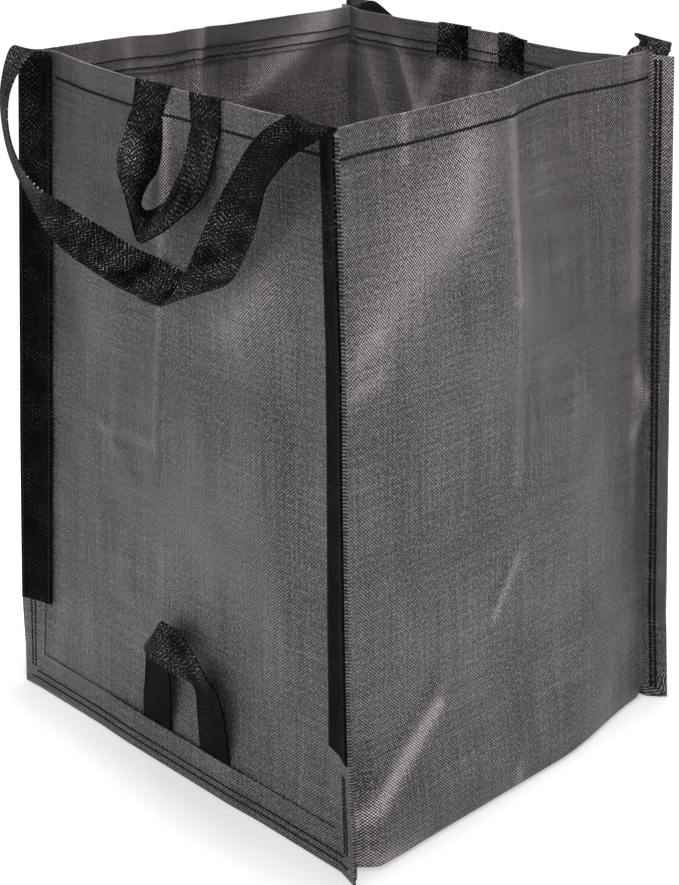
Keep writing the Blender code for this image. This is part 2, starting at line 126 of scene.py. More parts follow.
# Counts of mesh lines
HEM_ROWS = 5
FLANGES = 3
FOLD_TURNS = 7
BORDER_FOOT_ROWS = 7
STRAP_ROWS = 80
CREST_ROWS = 10

# For each strap: shift of its middle towards the panel at the top and at the foot, height of its
# foot, and how far its top is below the rim
STRAPS = {
    "near": (-0.003, -0.002, 0.126, 0.0035),
    "left": (-0.003, -0.003, 0.105, 0.0035),
    "right": (0.0055, 0.000, 0.108, 0.0035),
    "back": (0.000, 0.000, 0.108, 0.0035),
}
STRAP_PLACES = {(NEAR, -1): "near", (NEAR, 1): "left", (FAR, -1): "right", (FAR, 1): "back"}
# For each sewn end over the rim: its inside leg in metres, then in millimetres the shift of its front
# and back edge at the inside foot, the rim and the outside foot, and how far its foot stands off
TABS = {
    "near_front": (0.044, (0, 3.7), (0, 3.7), (0, 1), 0),
    "near_back": (0.044, (-6, 3), (-8.6, 5), (0, 4), 4),
    "far_front": (0.034, (8, 0), (5, 0), (0, 0), 0),
    "far_back": (0.034, (7, 13), (4, 8), (0, 0), 0),
}

# How each seam strays from its straight line, in millimetres: height, x and y
SEAM_STRAYS = {
    (NEAR, -1): ((0, -8, 8), (240, -4, 4), (500, 0, 0), (697, 0, 0)),
    (NEAR, 1): ((0, 0, 10), (370, 0, 4), (697, 0, 0)),
    (FAR, -1): ((0, -4, 0), (100, -7, 0), (697, -7, 0)),
    (FAR, 1): ((0, 0, 0), (697, 0, 0)),
}
# How far the seam allowance leans outwards, in degrees, at each height in millimetres
FIN_LEANS = {
    (NEAR, -1): ((0, 16), (43, 17), (108, 26), (250, 30), (400, 31), (697, 28)),
    (NEAR, 1): ((0, 3), (43, 6), (108, 20), (300, 32), (697, 34)),
    (FAR, -1): ((0, 38), (108, 25), (697, 25)),
    (FAR, 1): ((0, 27), (108, 20), (697, 20)),
}
# How far each rim stands above the even height, in millimetres: place along the wall, and rise
RIM_HEIGHTS = {
    "front": ((-228.5, 0), (-100, 0), (-30, 2), (50, 2.5), (124, 5), (180, 6), (228.5, 6)),
    "near": ((-228.5, 0), (60, 0), (150, 2), (228.5, 5)),
    "back": ((-228.5, 5), (-127, 4.5), (-60, 1), (-17, 2), (40, 0), (228.5, -1)),
    "far": (
        (-228.5, 2), (-200, -2), (-140, -5), (-70, -4), (-40, 0),
        (60, 0), (84, -1), (130, -2), (190, -2), (228.5, -1),
    ),
}
# Creases in each wall, in millimetres: from along and up to along and up, half width and height.
# The last value is how much highlight is painted into the cloth's colour along the crease, or below 0 how
# much shade is painted there.
CREASES = {
    "front": (
        (-185, 521, -78, 606, 26, 3.2, 0.9),
        (-144, 593, -43, 640, 30, 2.0, 0.5),
        (4, 660, 5, 501, 5, 1.6, 1.0),
        (5, 501, 3, 330, 4, 1.0, 0.35),
        (208, 685, 206, 470, 8, 0.0, 0.8),
        (206, 470, 204, 250, 7, 0.0, 0.4),
        (-60, 655, -78, 590, 12, 2.0, 0.8),
        (-142, 690, -146, 650, 6, 1.0, 0.8),
        (7, 254, -28, 207, 3.5, 2.0, 0.9),
        (25, 428, 37, 359, 4, -1.6, 0.0),
        (-219, 72, -112, 150, 6, 2.5, 2.2),
        # Painted shade: the front is darker along its foot and on its right
        (-60, 70, 228, 60, 70, 0.0, -0.22),
        (170, 400, 190, 200, 60, 0.0, -0.18),
        (-8, 45, -6, 12, 5, 1.6, 1.0),
        (-215, 30, -165, 14, 13, 1.5, 1.5),
        (212, 378, 229, 342, 5, 3.0, 0.9),
        (229, 342, 204, 322, 5, 2.6, 0.9),
        (-223, 468, -185, 478, 8, 1.6, 0.7),
        (-219, 492, -190, 514, 8, 1.6, 0.6),
        (150, 60, 215, 110, 12, 2.0, 0.35),
    ),
    "near": (
        (8, 672, 9, 581, 6, 3.0, 1.6),
        # Painted shade below the near carrying loop and lower down the wall
        (165, 420, 100, 370, 45, 0.0, -0.42),
        (200, 280, 120, 250, 60, 0.0, -0.20),
        (210, 150, 60, 140, 80, 0.0, -0.22),
        (9, 581, 17, 490, 6, 2.0, 0.8),
        (17, 490, 23, 344, 5, 1.8, 0.25),
        (-89, 492, -137, 535, 16, 2.6, 0.6),
        (-78, 419, -179, 510, 22, -2.6, 0.1),
        (218, 336, 112, 345, 4, 1.6, 0.2),
        (112, 345, 38, 346, 4, 1.4, 0.2),
        (112, 345, 60, 300, 5, 1.0, 0.1),
        (38, 346, -41, 394, 5, 1.4, 0.15),
    ),
    "back": (
        (-17, 690, -16, 540, 7, -6.0, 1.0),
        (60, 600, 182, 668, 18, -6.0, 1.0),
        # Painted shade on this fold
        (20, 640, 80, 560, 24, 7.0, -0.5),
        (-127, 690, -118, 660, 6, -2.0, 0.8),
        (-90, 640, -40, 560, 14, -2.0, 0.6),
        (-190, 600, -120, 560, 18, -2.0, 0.5),
    ),
    "far": (
        (100, 560, 55, 639, 10, -4.0, 0.9),
        (-20, 660, 10, 600, 10, -3.0, 0.8),
        (130, 650, 90, 560, 9, -3.0, 0.8),
        (190, 640, 150, 540, 10, -2.0, 0.5),
    ),
}

# Both edges of each free loop from its root, in millimetres. A row has one edge's place along, out
# from the panel and up, and then the other edge's.
CARRY_EDGES = (
    (-208, 13, 0, -248, 13, 0), (-204, 15, 4, -245, 19, -4), (-204, 22, 5, -242, 29, -10),
    (-196, 25, 0, -233, 36, -17), (-183, 29, -8, -219, 39, -28), (-166, 31, -22, -203, 38, -41),
    (-150, 32, -39, -188, 36, -55), (-137, 34, -57, -177, 32, -69), (-127, 38, -75, -165, 28, -87),
    (-117, 42, -93, -149, 22, -107), (-104, 44, -115, -130, 17, -128), (-88, 45, -141, -113, 13, -147),
    (-71, 44, -162, -96, 9, -158), (-50, 42, -181, -76, 5, -167), (-28, 38, -188, -46, 4, -168),
    (-6, 34, -190, -15, 5, -163), (13, 31, -190, 10, 7, -159), (34, 31, -189, 30, 11, -156),
    (59, 34, -184, 51, 17, -150), (82, 37, -178, 71, 22, -143), (103, 39, -173, 88, 28, -137),
    (124, 42, -165, 105, 33, -131), (145, 43, -155, 119, 40, -124), (163, 43, -142, 130, 47, -119),
    (179, 45, -125, 141, 55, -110), (191, 48, -110, 153, 61, -98), (203, 50, -91, 165, 64, -82),
    (212, 50, -73, 173, 65, -66), (219, 49, -53, 180, 63, -48), (225, 46, -35, 185, 58, -31),
    (229, 41, -19, 189, 50, -18), (232, 36, -7, 192, 41, -8), (237, 29, 1, 197, 31, -1),
    (243, 21, 3, 203, 21, 2), (248, 13, 0, 208, 13, 0),
)
# The far loop's own rows at both ends. Between them it has the near loop's.
FAR_ROOT = (
    (-208, 13, 0, -248, 13, 0), (-204, 16, 0, -246, 18, -5), (-199, 20, -3, -243, 25, -14),
    (-190, 25, -10, -235, 31, -25), (-178, 28, -17, -222, 35, -33), (-165, 30, -27, -204, 36, -44),
)
FAR_SHARED = slice(6, -9)
FAR_CREST = (
    (200, 46, -91, 163, 58, -82), (207, 42, -73, 170, 58, -66), (212, 39, -53, 175, 56, -48),
    (215, 36, -35, 179, 53, -31), (219, 33, -20, 182, 48, -16), (224, 31, -8, 184, 42, -2),
    (229, 29, 1, 186, 35, 6), (233, 25, 5, 188, 28, 9), (236, 20, 6, 191, 21, 9),
    (240, 16, 4, 202, 16, 5), (243, 13, 0, 203, 13, 0),
)
GRAB_EDGES = (
    (53, 6, 0, 7, 2, 0), (52, 11, -8, 8, 4, -8), (48, 17, -19, 8, 4, -18),
    (43, 26, -30, 9, 4, -30), (33, 35, -40, 11, 4, -41), (20, 41, -50, 18, 4, -52),
    (12, 41, -61, 27, 5, -61), (8, 40, -73, 33, 7, -71), (4, 39, -85, 36, 8, -79),
    (-2, 40, -95, 36, 8, -85), (-11, 40, -103, 31, 6, -88), (-26, 38, -96, 17, 8, -84),
    (-43, 35, -86, -1, 12, -76), (-53, 27, -75, -13, 12, -67), (-59, 18, -66, -18, 10, -57),
    (-64, 11, -56, -23, 7, -45), (-69, 8, -42, -29, 5, -32), (-74, 7, -25, -33, 4, -18),
    (-77, 4, -9, -35, 3, -7), (-78, 2, 0, -36, 2, 0),
)
DUMP_EDGES = (
    (50, 2, 0, 8, 2, 0), (47, 5, 20, 5, 5, 20), (43, 6, 42, 1, 8, 40),
    (40, 7, 59, -2, 10, 60), (40, 6, 71, -1, 11, 78), (40, 6, 80, -5, 13, 101),
    (37, 8, 90, -8, 17, 126), (32, 14, 87, -2, 19, 133), (12, 23, 90, -11, 17, 131),
    (-8, 26, 91, -25, 16, 129), (-18, 21, 85, -40, 17, 121), (-27, 14, 80, -54, 18, 111),
    (-34, 8, 73, -66, 17, 97), (-38, 7, 64, -75, 13, 83), (-40, 8, 50, -80, 10, 62),
    (-39, 6, 28, -81, 7, 34), (-36, 2, 0, -78, 2, 0),
)
# How strongly glints are painted into the webbing's colour: each strap by height in millimetres,
# brighter towards its top, each free loop by percent of its length
STRAP_PAINTED_GLINT = ((0, 0.10), (560, 0.14), (600, 0.45), (697, 0.35))
CREST_PAINTED_GLINT = 0.7
TAB_PAINTED_GLINT = 0.9
SEWN_END_PAINTED_GLINT = 0.15
CARRY_PAINTED_GLINT = ((0, 0.25), (20, 0.35), (28, 0.9), (45, 1.0), (55, 0.7), (80, 0.9), (100, 1.0))
GRAB_PAINTED_GLINT = ((0, 0.9), (30, 1.0), (50, 0.5), (70, 0.8), (100, 0.8))
DUMP_PAINTED_GLINT = ((0, 0.1), (24, 0.12), (32, 0.9), (70, 1.0), (78, 0.15), (100, 0.1))


# The bag's shape, as the CAD has it, with the soft cloth's own waves and creases on top


def between(table, place):
    """The values of a table at this place, in proportion between its rows."""
    if place <= table[0][0]:
        return table[0][1:]
    for first, second in zip(table, table[1:]):
        if place <= second[0]:
            share = (place - first[0]) / (second[0] - first[0])
            return [low + (high - low) * share for low, high in zip(first[1:], second[1:])]
    return table[-1][1:]


def corner(side, end, z):
    """The seam line of one corner at height z. side is NEAR or FAR, end -1 front and 1 back."""
    share = z / BAG_HEIGHT
    push = side * end * RIM_SKEW * share
    x = side * (HALF_WIDTH + push)
    y = end * (HALF_DEPTH + push)
    if side == NEAR and end < 0:
        sway = NEAR_SWAY_TOP * share - NEAR_SWAY_FOOT * (1 - share)
        x -= sway
        y += sway
    stray_x, stray_y = between(SEAM_STRAYS[side, end], z / MM)
    return Vector((x + stray_x * MM, y + stray_y * MM))


def side_frame(side, z):
    """Middle of a side panel at height z, the step of a full depth along it, and its outward way."""
    front = corner(side, -1, z)
    back = corner(side, 1, z)
    step = back - front
    along = step.normalized()
    outward = side * Vector((along.y, -along.x))
    return (front + back) / 2, step, outward


def smoothstep(low, high, value):
    share = min(max((value - low) / (high - low), 0.0), 1.0)
    return share * share * (3 - 2 * share)


def bump(centre, reach, value):
    """A smooth hill of height 1 at the centre, that is level again at this reach to both sides."""
    return smoothstep(reach, 0.0, abs(value - centre))


def side_bow(side, a, z):
    """How far a side panel bows outwards at a point, and the far one inwards near its rim."""
    share = min(max((z - BORDER_FOOT) / (BAG_HEIGHT - BORDER_FOOT), 0.0), 1.0)
    reach = min(max((HALF_DEPTH - abs(a)) / (HALF_DEPTH - PLATEAU), 0.0), 1.0)
    swell = smoothstep(0.0, 1.0, reach)
    rim = -FAR_RIM_BOW * share * share if side == FAR else 0.0
    return swell * (SIDE_BELLY * math.sin(math.pi * share) + rim)


def waves(rows, x, z, shift=0.0):
    """The smooth random unevenness of a wall at a point. shift sets walls with the same rows apart."""
    return sum(rise * noise.noise(Vector((x / size, z / size, seed + shift))) for rise, seed, size in rows)


def creased(wall, x, z):
    """How far the creases of a wall lift it at a point, and how much highlight, or below 0 shade, is painted
    into its colour there.
    """
    height = painted_light = 0.0
    for x0, z0, x1, z1, width, peak, painted_light_weight in CREASES[wall]:
        run = Vector((x1 - x0, z1 - z0)) * MM
        off = Vector((x - x0 * MM, z - z0 * MM))
        share = min(max(off.dot(run) / run.dot(run), 0.0), 1.0)
        spread_out = (off - run * share).length / (width * MM)
        if spread_out > 4:
            continue
        near_line = math.exp(-spread_out * spread_out / (1 + 0.6 * spread_out))
        height += peak * MM * near_line
        painted_light += painted_light_weight * near_line
    return height, min(painted_light, 2.0)


def rim_height(wall, x, z):
    """How much higher a wall is there, all of it near the rim and none lower down."""
    spots = RIM_HEIGHTS[wall]
    place_mm = min(max(x / MM, spots[0][0]), spots[-1][0])
    for (x0, up0), (x1, up1) in zip(spots, spots[1:]):
        if place_mm <= x1:
            up = up0 + (up1 - up0) * smoothstep(x0, x1, place_mm)
            break
    return up * MM * smoothstep(BAG_HEIGHT - RIM_REACH, BAG_HEIGHT, z)


def edge_recess(a, z):
    """The side panels sink in a little beside their seams, where the straps pull them."""
    inward = HALF_DEPTH - abs(a)
    sunk = smoothstep(0.0, EDGE_REACH, inward) * smoothstep(EDGE_REACH + EDGE_FADE, EDGE_REACH, inward)
    return -EDGE_RECESS * sunk * smoothstep(BORDER_FOOT, STRAP_FOOT, z)


def side_waves(side, a, z):
    """The soft unevenness of a side panel, none at its seams and little where loops are sewn."""
    edge = smoothstep(HALF_DEPTH, HALF_DEPTH - 0.05, abs(a)) * smoothstep(BORDER_FOOT, 0.10, z)
    top = 1 - 0.85 * smoothstep(BAG_HEIGHT - 0.10, BAG_HEIGHT - 0.02, z)
    return edge * (top * waves(SIDE_WAVES, a, z, side) + creased(SIDE_NAMES[side], a, z)[0])


def side_point(side, a, z, out=0.0, raised=True):
    """A point on a side panel, a along it from its middle, and out from its middle surface.

    Beyond the seams it's a point on the seam allowance, which leans outwards.
    """
    up = z + rim_height(SIDE_NAMES[side], a, z) if raised else z
    middle, step, outward = side_frame(side, z)
    if abs(a) < HALF_DEPTH:
        off = side_bow(side, a, z) + side_waves(side, a, z) + edge_recess(a, z) + out
        place = middle + step * (a / BAG_DEPTH) + outward * off
        return Vector((place.x, place.y, up))
    end = math.copysign(1, a)
    along = step.normalized() * end
    place = middle + step * (end / 2)
    beyond = abs(a) - HALF_DEPTH
    lean = math.radians(between(FIN_LEANS[side, int(end)], z / MM)[0])
    if beyond < GAP:
        half = lean / 2
        place += (outward * math.cos(half) - along * math.sin(half)) * (out / math.cos(half))
    else:
        place += (along * math.cos(lean) + outward * math.sin(lean)) * beyond
        place += (outward * math.cos(lean) - along * math.sin(lean)) * out
    return Vector((place.x, place.y, up))


def frame_point(side, z_frame, a, out, z):
    """A point beside the straight line between a side panel's two seams at height z_frame."""
    middle, step, outward = side_frame(side, z_frame)
    place = middle + step * (a / BAG_DEPTH) + outward * out
    return Vector((place.x, place.y, z))


def panel_point(side, a, out, z):
    """A point that stands off a side panel's even bow, or above it off its rim."""
    level = min(z, BAG_HEIGHT)
    return frame_point(side, level, a, out + side_bow(side, a, level), z)


def foot_bulge(share):
    """How far the foot of the front wall stands out beyond its seams."""
    return FOOT_BULGE * smoothstep(1.0, 0.86 if share < 0 else 0.25, abs(share))


def front_waves(share, z):
    """How far the front wall stands out of its plane, beyond its belly."""
    hold = smoothstep(1.0, SEAM_HOLD, abs(share))
    uneven = hold * smoothstep(0.03, 0.12, z) * waves(FRONT_WAVES, share * HALF_WIDTH, z)
    rise = z / BAG_HEIGHT
    dent = bump(0.37, 0.5, share) * smoothstep(0.55, 1.0, rise)
    lift = bump(0.02, 0.34, share) * smoothstep(0.5, 1.0, rise)
    bulge = foot_bulge(share) * smoothstep(0.19, 0.02, z)
    ridges = creased("front", share * HALF_WIDTH, z)[0] * smoothstep(1.0, 0.95, abs(share))
    return uneven + bulge + ridges + hold * (-0.0145 * dent + 0.004 * lift)


def back_waves(share, z):
    """How far the back wall stands out of its plane, beyond its belly."""
    edge = smoothstep(1.0, SEAM_HOLD, abs(share)) * smoothstep(0.03, 0.12, z)
    top = 1 - 0.8 * smoothstep(BAG_HEIGHT - 0.08, BAG_HEIGHT, z)
    x = share * HALF_WIDTH
    return edge * (top * waves(BACK_WAVES, x, z) + creased("back", x, z)[0])


# Meshes


def spread(first, last, count):
    """This many even steps of place from the first value to the last one."""
    return [first + (last - first) * step / (count - 1) for step in range(count)]


def joined(*runs):
    """Runs of numbers put one after another, each starting where the last one ends."""
    line = list(runs[0])
    for run in runs[1:]:
        line += run[1:]
    return line


def added(name, data):
    """A new object of this mesh, light or camera, in the scene."""
    made = bpy.data.objects.new(name, data)
    bpy.context.scene.collection.objects.link(made)
    return made


def path_lengths(path):
    """How long a path is up to each of its points."""
    lengths = [0.0]
    for first, second in zip(path, path[1:]):
        lengths.append(lengths[-1] + math.dist(first, second))
    return lengths


def finished(obj, sharp_degrees=38):
    """Applies an object's modifiers, shades it smooth and keeps its true corners sharp."""
    graph = bpy.context.evaluated_depsgraph_get()
    mesh = bpy.data.meshes.new_from_object(obj.evaluated_get(graph))
    obj.modifiers.clear()
    obj.data = mesh
    for polygon in mesh.polygons:
        polygon.use_smooth = True
    mesh.set_sharp_from_angle(angle=math.radians(sharp_degrees))
    return obj


def sheet(name, rows, columns, place, thickness, look, node, kept=None):
    """A cloth or webbing made by place(row, column), with a UV map in metres. It replaces this node.

    rows and columns are counts. place gives a point, its own length along and across, and how much
    highlight is painted into its colour there, or below 0 how much shade is painted.
    """
    grid = bmesh.new()
    uv_layer = grid.loops.layers.uv.new("metres")
    # Each point keeps how much highlight, or below 0 shade, is painted into its colour there
    painted_light_layer = grid.verts.layers.float.new("painted_light")
    points = {}
    spots = {}
    for row in range(rows):
        for column in range(columns):
            point, spots[row, column], painted_light_level = place(row, column)
            points[row, column] = grid.verts.new(point)
            points[row, column][painted_light_layer] = painted_light_level
    for row in range(rows - 1):
        for column in range(columns - 1):
            if kept and not kept(row, column):
                continue
            keys = [(row, column), (row, column + 1), (row + 1, column + 1), (row + 1, column)]
            face = grid.faces.new([points[key] for key in keys])
            for loop, key in zip(face.loops, keys):
                loop[uv_layer].uv = spots[key]
    loose = [vertex for vertex in grid.verts if not vertex.link_faces]
    bmesh.ops.delete(grid, geom=loose, context="VERTS")
    mesh = bpy.data.meshes.new(name)
    grid.to_mesh(mesh)
    grid.free()
    mesh.materials.append(look)
    made = added(name, mesh)
    solid = made.modifiers.new("thickness", "SOLIDIFY")
    solid.thickness = thickness
    solid.offset = 0.0
    solid.use_even_offset = thickness < WEBBING
    solid.use_rim = True
    finished(made)
    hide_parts(node)
    return made


def wall_section():
    """The front half of the U cloth's section as (a, z, layer, outer a, outer z), hem first."""
    path = [(-HALF_DEPTH, z, 1, -OUTER, z) for z in spread(HEM_FOOT, RIM_TOP, HEM_ROWS + 1)]
    heights = joined(
        spread(RIM_TOP, HEM_FOOT, HEM_ROWS + 1),
        spread(HEM_FOOT, STRAP_FOOT, 118),
        spread(STRAP_FOOT, BORDER_FOOT, 15),
    )
    path += [(-HALF_DEPTH, z, 0, -OUTER, z) for z in heights + [FOLD_TOP]]
    middle_a = -HALF_DEPTH + FOLD_RADIUS
    for step in range(1, FOLD_TURNS):
        angle = math.pi / 2 * step / FOLD_TURNS
        across, down = math.cos(angle), math.sin(angle)
        reach_out = (FOLD_RADIUS + SEAM_ALLOWANCE) / max(across, down)
        inner = (middle_a - FOLD_RADIUS * across, FOLD_TOP - FOLD_RADIUS * down)
        outer_z = FOLD_TOP - reach_out * down + SKIRT_FLOAT * down
        path.append((*inner, 0, middle_a - reach_out * across, outer_z))
    path += [(a, SEAM_ALLOWANCE, 0, a, SKIRT_FLOAT) for a in spread(middle_a, 0.0, 20)]
    return path


def u_surface(a, z, share, layer=0.0, out=0.0):
    """A point of the U cloth where its section is at (a, z) and share across, near -1 to far 1."""
    wall = abs(a) > HALF_DEPTH - CLOTH
    rise = min(max((z - FOLD_TOP) / (BAG_HEIGHT - FOLD_TOP), 0.0), 1.0)
    to_seam = (1 - abs(share)) * HALF_WIDTH
    dip = 1 - max(1 - to_seam / LIFT_REACH, 0.0) ** 2
    low = z - (SEAM_ALLOWANCE - CLOTH / 2) * dip * (1 - rise)
    near = side_point(NEAR, a, low, -LAYER, False)
    far = side_point(FAR, a, low, -LAYER, False)
    spot = near * (1 - share) / 2 + far * (1 + share) / 2
    foot_front = smoothstep(-HALF_DEPTH + 0.06, -HALF_DEPTH + FOLD_RADIUS, a)
    if not wall and foot_front:
        spot.y -= foot_bulge(share) * foot_front
    if wall:
        spot.z += rim_height("front" if a < 0 else "back", share * HALF_WIDTH, low)
        run = (far - near).normalized()
        outward = Vector((run.y, -run.x, 0.0)) * -math.copysign(1, a)
        belly = WALL_BELLY * math.sin(math.pi * rise) * (1 - share * share)
        uneven = front_waves(share, low) if a < 0 else back_waves(share, low)
        spot += outward * (belly + uneven - layer * LAYER + out)
    return spot


def u_cloth(look):
    front = wall_section()
    back = [(-a, z, layer, -outer_a, outer_z) for a, z, layer, outer_a, outer_z in front[-2::-1]]
    path = front + back
    lengths = path_lengths([row[:2] for row in path])
    across = joined(spread(-1, -0.86, 11), spread(-0.86, 0.86, 115), spread(0.86, 1, 11))
    columns = len(across) + 2 * FLANGES

    def place(row, column):
        a, z, layer, outer_a, outer_z = path[row]
        share = across[min(max(column - FLANGES, 0), len(across) - 1)]
        beyond = max(FLANGES - column, column - FLANGES - len(across) + 1, 0) / FLANGES
        u = share * HALF_WIDTH + math.copysign(SEAM_ALLOWANCE * beyond, share)
        painted_light_level = 0.0
        if beyond:
            side = NEAR if share < 0 else FAR
            seam = side_point(side, a, z, -LAYER)
            spot = seam.lerp(side_point(side, outer_a, outer_z, -LAYER), beyond)
            # A painted sheen on the right corner's seam allowance, lighter towards its top
            if side == FAR and a < 0:
                painted_light_level = 0.7 * smoothstep(0.45, 0.69, z)
        else:
            spot = u_surface(a, z, share, layer)
            # The walls' creases give painted highlight, or below 0 painted shade
            if abs(a) > HALF_DEPTH - CLOTH:
                painted_light_level = creased("front" if a < 0 else "back", share * HALF_WIDTH, z)[1]
        return spot, (u, lengths[row]), painted_light_level

    def kept(row, column):
        hem = row <= HEM_ROWS or row >= len(path) - HEM_ROWS - 2
        return not (hem and (column < FLANGES or column >= columns - FLANGES - 1))

    made = sheet("u_cloth", len(path), columns, place, CLOTH, look, "u_panel", kept)
    return made


def side_cloth(name, side, look):
    half = joined(
        spread(0.0, BORDER_EDGE, 70),
        spread(BORDER_EDGE, HALF_DEPTH, 3),
        spread(HALF_DEPTH, OUTER, 4),
    )
    columns = [-a for a in half[:0:-1]] + half
    heights = joined(
        spread(SKIRT_FLOAT, BORDER_FOOT, 7),
        spread(BORDER_FOOT, STRAP_FOOT, 14),
        spread(STRAP_FOOT, HEM_FOOT, 122),
        spread(HEM_FOOT, RIM_TOP, HEM_ROWS + 1),
    )
    rows = [(z, 0) for z in heights] + [(z, 1) for z in spread(RIM_TOP, HEM_FOOT, HEM_ROWS + 1)]
    hem_column = next(i for i, a in enumerate(columns) if a > -BORDER_EDGE - GAP)

    def place(row, column):
        z, layer = rows[row]
        a = columns[column]
        length = z if layer == 0 else 2 * RIM_TOP - z
        # The last value is the painted highlight, or below 0 painted shade, of the panel's creases
        return side_point(side, a, z, -layer * LAYER), (a, length), creased(SIDE_NAMES[side], a, z)[1]

    def kept(row, column):
        hem = row >= len(heights) - 1
        return not hem or hem_column <= column < len(columns) - 1 - hem_column

    node = "side_panel_" + SIDE_NAMES[side]
    made = sheet(name, len(rows), len(columns), place, CLOTH, look, node, kept)
    return made


def border_stand_off(side, a):
    """How far the foot border stands off its panel, to leave room for the tipping loop's ends."""
    reach = min(max((POCKET_EDGE + POCKET_RUN - abs(a)) / POCKET_RUN, 0.0), 1.0)
    return POCKET_DEPTH * reach if side == NEAR else 0.0


def border_cloth(name, side, look):
    free_edge = POCKET_EDGE + POCKET_RUN
    half = joined(
        spread(0.0, POCKET_EDGE, 16),
        spread(POCKET_EDGE, free_edge, 9),
        spread(free_edge, BORDER_EDGE, 18),
        spread(BORDER_EDGE, HALF_DEPTH, 3),
        spread(HALF_DEPTH, OUTER, 5),
    )
    columns = [-a for a in half[:0:-1]] + half
    rows = joined(
        spread(SKIRT_FLOAT, BORDER_FOOT, BORDER_FOOT_ROWS + 1),
        spread(BORDER_FOOT, STRAP_FOOT, 10),
        spread(STRAP_FOOT, HEM_FOOT, 76),
        spread(HEM_FOOT, RIM_TOP, HEM_ROWS + 1),
    )
    edge_column = next(i for i, a in enumerate(columns) if a > -BORDER_EDGE - GAP)

    def place(row, column):
        a = columns[column]
        stand_off = border_stand_off(side, a) if row <= BORDER_FOOT_ROWS else 0.0
        return side_point(side, a, rows[row], LAYER + stand_off), (a, rows[row]), 0.0

    def kept(row, column):
        return row < BORDER_FOOT_ROWS or column < edge_column or column >= len(columns) - 1 - edge_column

    node = "seam_border_" + SIDE_NAMES[side]
    made = sheet(name, len(rows), len(columns), place, CLOTH, look, node, kept)
    return made


def corner_strap(name, side, end, look):
    """Webbing sewn up a seam. Its top bends outwards over a crest, to where the carrying loop begins."""
    top_centre, foot_centre, foot, drop = STRAPS[name]
    crest_z = BAG_HEIGHT - drop
    heights = spread(foot, crest_z, STRAP_ROWS)
    rows = STRAP_ROWS + CREST_ROWS + 1
    across = spread(-STRAP_WIDTH / 2, STRAP_WIDTH / 2, 9)

    def place(row, column):
        share = min(row / (STRAP_ROWS - 1), 1.0)
        centre = foot_centre + (top_centre - foot_centre) * share
        a = end * (HALF_DEPTH + (across[column] - centre))
        v = heights[min(row, STRAP_ROWS - 1)]
        if row < STRAP_ROWS:
            # Painted glints, stronger towards the strap's top
            painted_light_weight = between(STRAP_PAINTED_GLINT, v / MM)[0]
            return side_point(side, a, v, OVER_BORDER, False), (across[column], v), painted_light_weight
        angle = math.pi / 2 * min((row - STRAP_ROWS + 1) / CREST_ROWS, 1.0)
        out = OVER_BORDER + CREST_RADIUS * (1 - math.cos(angle))
        if row == rows - 1:
            out += ROOT_STUB
        z = crest_z + CREST_RADIUS * math.sin(angle)
        bent = side_point(side, a, BAG_HEIGHT, OVER_BORDER, False)
        straight = frame_point(side, BAG_HEIGHT, a, OVER_BORDER, z)
        spot = bent.lerp(straight, 1 - math.cos(angle))
        shift = side_frame(side, BAG_HEIGHT)[2] * (out - OVER_BORDER)
        point = Vector((spot.x + shift.x, spot.y + shift.y, z))
        # Painted glints on the crest
        return point, (across[column], v + CREST_RADIUS * angle), CREST_PAINTED_GLINT

    node = "corner_strap_" + name
    return sheet("strap_" + name, rows, len(across), place, WEBBING, look, node)


def saddle(name, side, centre, look):
    """A loop's sewn end, from the inside of the panel over the rim to the outside."""
    inside_leg, at_foot, at_rim, at_end, lift = TABS[name]
    inside = -(LAYER + ON_CLOTH)
    top = BAG_HEIGHT + GAP + WEBBING / 2
    legs = (
        (inside, spread(BAG_HEIGHT - inside_leg, top, 12), spread(-1, 0, 12)),
        (ON_CLOTH, spread(top, BAG_HEIGHT - GRAB_OUTSIDE_LEG, 10), spread(0, 1, 10)),
    )
    path = [(z, out, share) for out, heights, shares in legs for z, share in zip(heights, shares)]
    lengths = path_lengths([row[:2] for row in path])
    across = spread(-1, 1, 11)

    def place(row, column):
        z, out, share = path[row]
        beyond = at_foot if share < 0 else at_end
        edges = [rim + (end - rim) * abs(share) for rim, end in zip(at_rim, beyond)]
        side_share = across[column]
        a = centre + GRAB_WIDTH / 2 * side_share
        a += (edges[0] * (1 - side_share) / 2 + edges[1] * (1 + side_share) / 2) * MM
        if share > 0:
            out += lift * MM * share * ((1 + side_share) / 2) ** 2
        spot = side_point(side, a, z, out)
        # Painted glints on the tab
        return spot, (GRAB_WIDTH / 2 * side_share, lengths[row]), TAB_PAINTED_GLINT

    node = "grab_loop_tab_" + name
    return sheet("tab_" + name, len(path), len(across), place, WEBBING, look, node)


def sewn_end(name, node, side, centre, look):
    """An end of the tipping loop, flat between the panel and its foot border."""
    heights = spread(BORDER_FOOT - DUMP_SEWN_END, BORDER_FOOT, 4)
    across = spread(-DUMP_WIDTH / 2, DUMP_WIDTH / 2, 5)

    def place(row, column):
        spot = side_point(side, centre + across[column], heights[row], ON_CLOTH)
        # A few painted glints on the sewn end
        return spot, (across[column], heights[row]), SEWN_END_PAINTED_GLINT

    return sheet(name, len(heights), len(across), place, WEBBING, look, node)


def smooth(points, share):
    """A point at this share of the way along a smooth curve through the points."""
    spot = share * (len(points) - 1)
    index = min(int(spot), len(points) - 2)
    t = spot - index
    before = points[max(index - 1, 0)]
    first, second = points[index], points[index + 1]
    after = points[min(index + 2, len(points) - 1)]
    return 0.5 * (
        2 * first
        + (second - before) * t
        + (2 * before - 5 * first + 4 * second - after) * t * t
        + (3 * first - before - 3 * second + after) * t * t * t
    )


